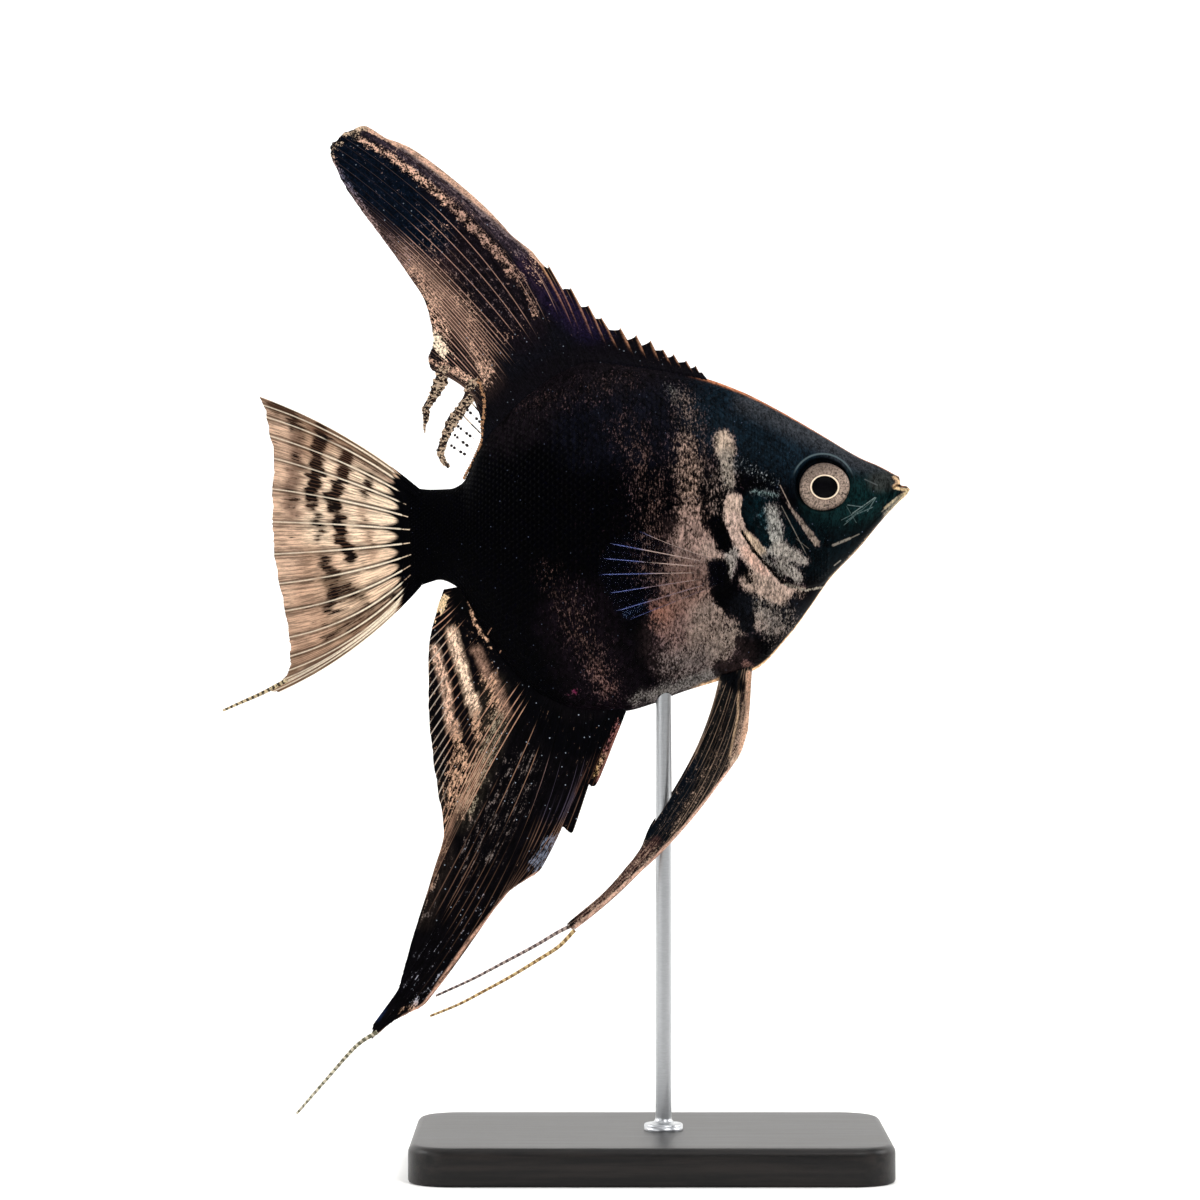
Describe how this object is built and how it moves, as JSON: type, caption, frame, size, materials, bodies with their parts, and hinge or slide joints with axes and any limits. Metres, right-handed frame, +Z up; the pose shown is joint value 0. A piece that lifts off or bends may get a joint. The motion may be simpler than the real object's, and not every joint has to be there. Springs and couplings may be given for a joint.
{
  "type": "freshwater angelfish model",
  "caption": "Life-size still model of a black marbled freshwater angelfish with long trailing fins, held on a rod above a flat display base.",
  "frame": {"origin": "centre of the bounding box in plan, on the underside of the stand's base", "axes": "+Z up, +X the way the fish faces, +Y its left side"},
  "size_m": [0.11, 0.05, 0.1667],
  "materials": {
    "head": "satin scaled skin, dark blue-black with a tan cheek",
    "lower_jaw": "satin skin, tan lips",
    "gill_cover": "satin skin over bone",
    "trunk": "satin scales, black with pale pinkish-tan flecks",
    "tail": "satin scales, black",
    "eye": "wet gloss, tan iris round a black pupil",
    "dorsal_fin": "thin rayed web, black with a tan rear edge",
    "anal_fin": "thin rayed web, black with pale bands",
    "caudal_fin": "thin rayed web, cream with dark bars",
    "pelvic_fin": "stiff rays, dark with tan edges",
    "pectoral_fin": "almost clear web with blue-grey rays",
    "stand_base": "satin black lacquer",
    "stand_rod": "brushed"
  },
  "bodies": {
    "root": {"head": "head", "lower_jaw": "lower_jaw", "gill_cover_left": "gill_cover", "gill_cover_right": "gill_cover", "trunk": "trunk", "tail": "tail", "eye_left": "eye", "eye_right": "eye", "dorsal_fin": "dorsal_fin", "dorsal_streamer_front": "dorsal_fin", "dorsal_streamer_rear": "dorsal_fin", "anal_fin": "anal_fin", "caudal_fin": "caudal_fin", "pelvic_fin_left": "pelvic_fin", "pelvic_fin_right": "pelvic_fin", "pectoral_fin_left": "pectoral_fin", "pectoral_fin_right": "pectoral_fin", "stand_base": "stand_base", "stand_rod": "stand_rod"}
  },
  "joints": []
}
